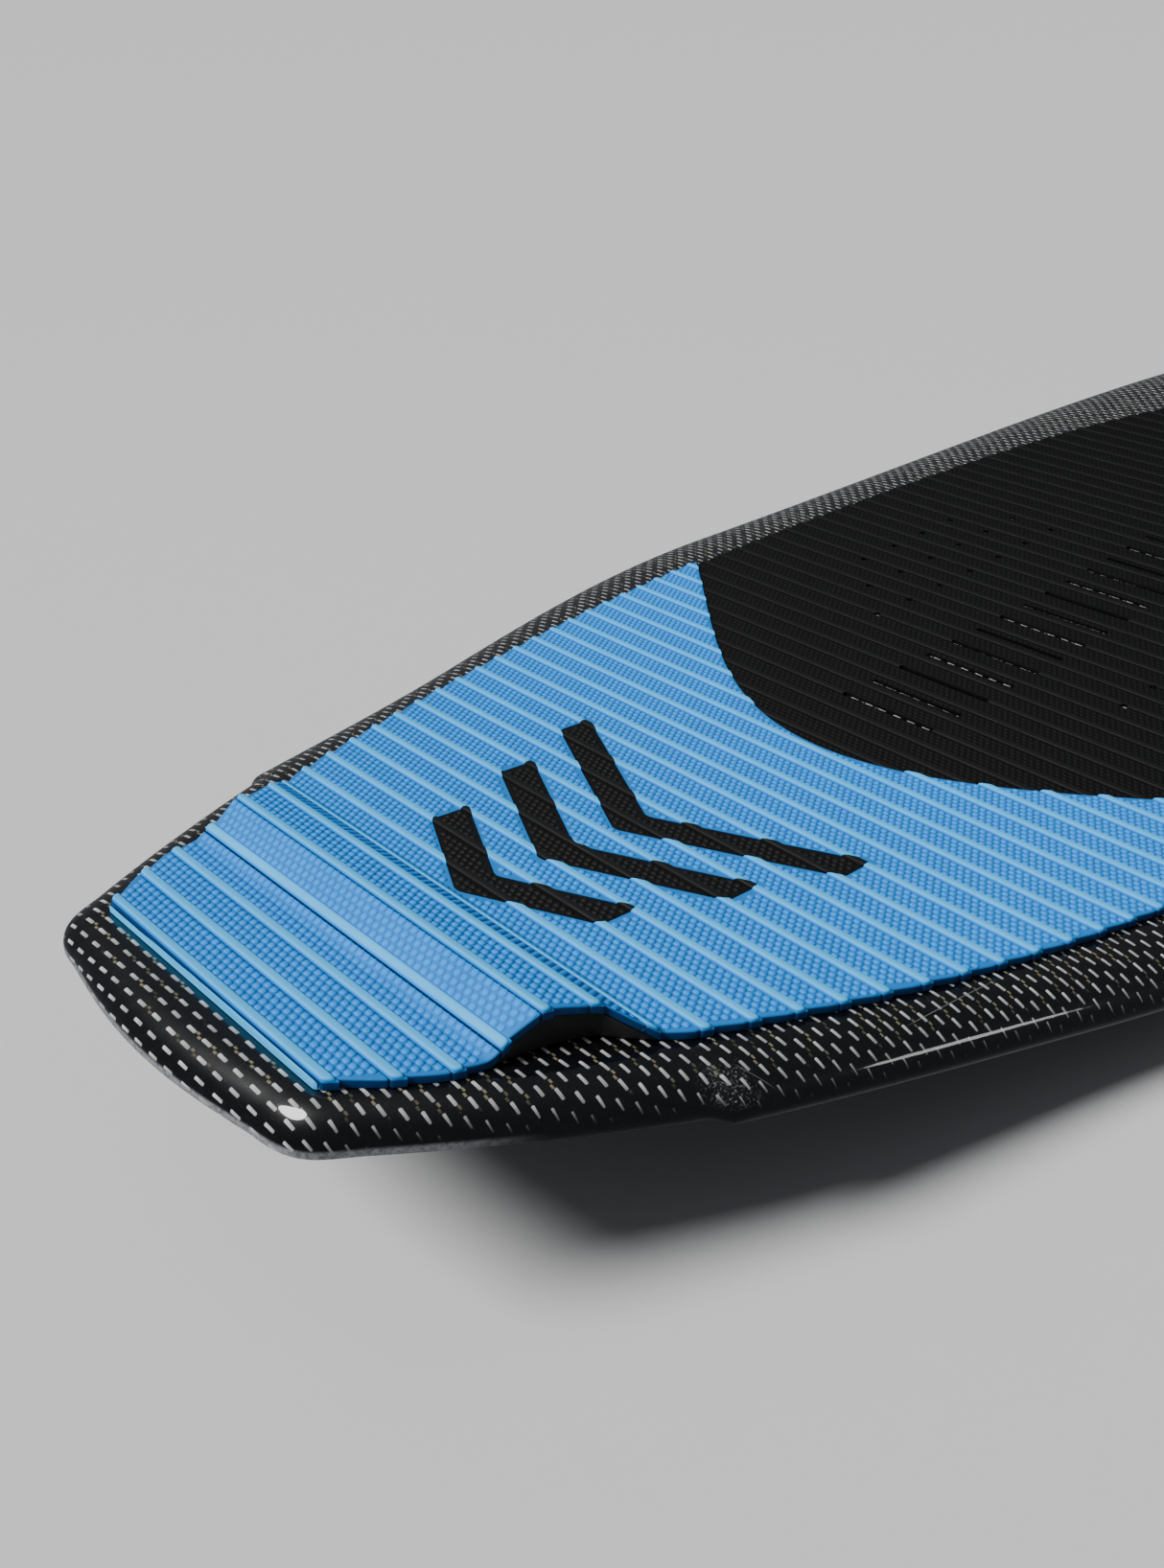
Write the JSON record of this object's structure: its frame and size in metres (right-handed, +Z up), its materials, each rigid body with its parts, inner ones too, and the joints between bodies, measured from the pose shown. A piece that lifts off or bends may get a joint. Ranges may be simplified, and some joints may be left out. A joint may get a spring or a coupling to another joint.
{
  "type": "kiteboard",
  "caption": "Surf-style kiteboard: glossy woven carbon shell over a foam core, ribbed blue and black deck pads with an arched kick, and small removable fins.",
  "frame": {"origin": "centre of the bounding box at ground level, the board standing on its two side fins and its belly", "axes": "+X towards the nose, +Y towards the left rail, +Z up; the deck datum is pitched 8.09 degrees nose down from level"},
  "size_m": [1.426, 0.527, 0.1107],
  "materials": {
    "carbon_laminate": "clear-coated woven carbon with light tracer threads, high gloss",
    "core_foam": "shaped expanded foam, matt",
    "dense_foam": "high-density foam, matt",
    "blue_eva": "closed-cell EVA foam, moulded ribs and fine raised dots, matt",
    "black_eva": "closed-cell EVA foam, ribs and fine raised dots, matt",
    "box_plastic": "moulded, fine satin grain",
    "fin_laminate": "moulded fibre composite, satin gloss",
    "stainless_steel": "turned and brushed",
    "seal_rubber": "matt"
  },
  "bodies": {
    "board": {"bottom_laminate": "carbon_laminate", "deck_laminate": "carbon_laminate", "fin_box_centre": "box_plastic", "fin_box_left": "box_plastic", "fin_box_right": "box_plastic", "foam_core": "core_foam", "front_pad": "black_eva", "inlay_1": "black_eva", "inlay_2": "black_eva", "inlay_3": "black_eva", "insert_centre": "dense_foam", "insert_left": "dense_foam", "insert_right": "dense_foam", "kick_wedge": "black_eva", "tail_pad": "blue_eva", "vent_o_ring": "seal_rubber", "vent_plug": "box_plastic"},
    "fin_left": {"fin_left": "fin_laminate"},
    "fin_right": {"fin_right": "fin_laminate"},
    "fin_centre": {"fin_centre": "fin_laminate"},
    "grub_screw_left_front": {"grub_screw_left_front": "stainless_steel"},
    "grub_screw_left_rear": {"grub_screw_left_rear": "stainless_steel"},
    "grub_screw_right_front": {"grub_screw_right_front": "stainless_steel"},
    "grub_screw_right_rear": {"grub_screw_right_rear": "stainless_steel"},
    "grub_screw_centre_front": {"grub_screw_centre_front": "stainless_steel"},
    "grub_screw_centre_rear": {"grub_screw_centre_rear": "stainless_steel"},
    "vent_screw": {"vent_screw": "stainless_steel"}
  },
  "joints": [
    {"name": "fin_left_pull", "type": "slide", "parent": "board", "child": "fin_left", "axis": [-0.1603, 0.0009, -0.9871], "range_m": [0, 0.012]},
    {"name": "fin_right_pull", "type": "slide", "parent": "board", "child": "fin_right", "axis": [-0.1603, -0.0009, -0.9871], "range_m": [0, 0.012]},
    {"name": "fin_centre_pull", "type": "slide", "parent": "board", "child": "fin_centre", "axis": [-0.2042, 0, -0.9789], "range_m": [0, 0.012]},
    {"name": "grub_screw_left_front_turn", "type": "hinge", "parent": "board", "child": "grub_screw_left_front", "pos_m": [-0.41576, 0.11682, 0.04074], "axis": [0.1173, -0.5003, 0.8579], "range_deg": [0, 540]},
    {"name": "grub_screw_left_rear_turn", "type": "hinge", "parent": "board", "child": "grub_screw_left_rear", "pos_m": [-0.4552, 0.11857, 0.04715], "axis": [0.1173, -0.5003, 0.8579], "range_deg": [0, 540]},
    {"name": "grub_screw_right_front_turn", "type": "hinge", "parent": "board", "child": "grub_screw_right_front", "pos_m": [-0.41625, -0.10543, 0.04081], "axis": [0.1605, -0.4988, 0.8517], "range_deg": [0, 540]},
    {"name": "grub_screw_right_rear_turn", "type": "hinge", "parent": "board", "child": "grub_screw_right_rear", "pos_m": [-0.4557, -0.10718, 0.04722], "axis": [0.1605, -0.4988, 0.8517], "range_deg": [0, 540]},
    {"name": "grub_screw_centre_front_turn", "type": "hinge", "parent": "board", "child": "grub_screw_centre_front", "pos_m": [-0.57042, 0.0057, 0.06936], "axis": [0.1769, -0.5, 0.8478], "range_deg": [0, 540]},
    {"name": "grub_screw_centre_rear_turn", "type": "hinge", "parent": "board", "child": "grub_screw_centre_rear", "pos_m": [-0.60958, 0.0057, 0.07753], "axis": [0.1769, -0.5, 0.8478], "range_deg": [0, 540]},
    {"name": "vent_screw_turn", "type": "hinge", "parent": "board", "child": "vent_screw", "pos_m": [0.56599, 0, 0.03542], "axis": [-0.061, 0, 0.9981], "range_deg": [0, 1170]}
  ]
}
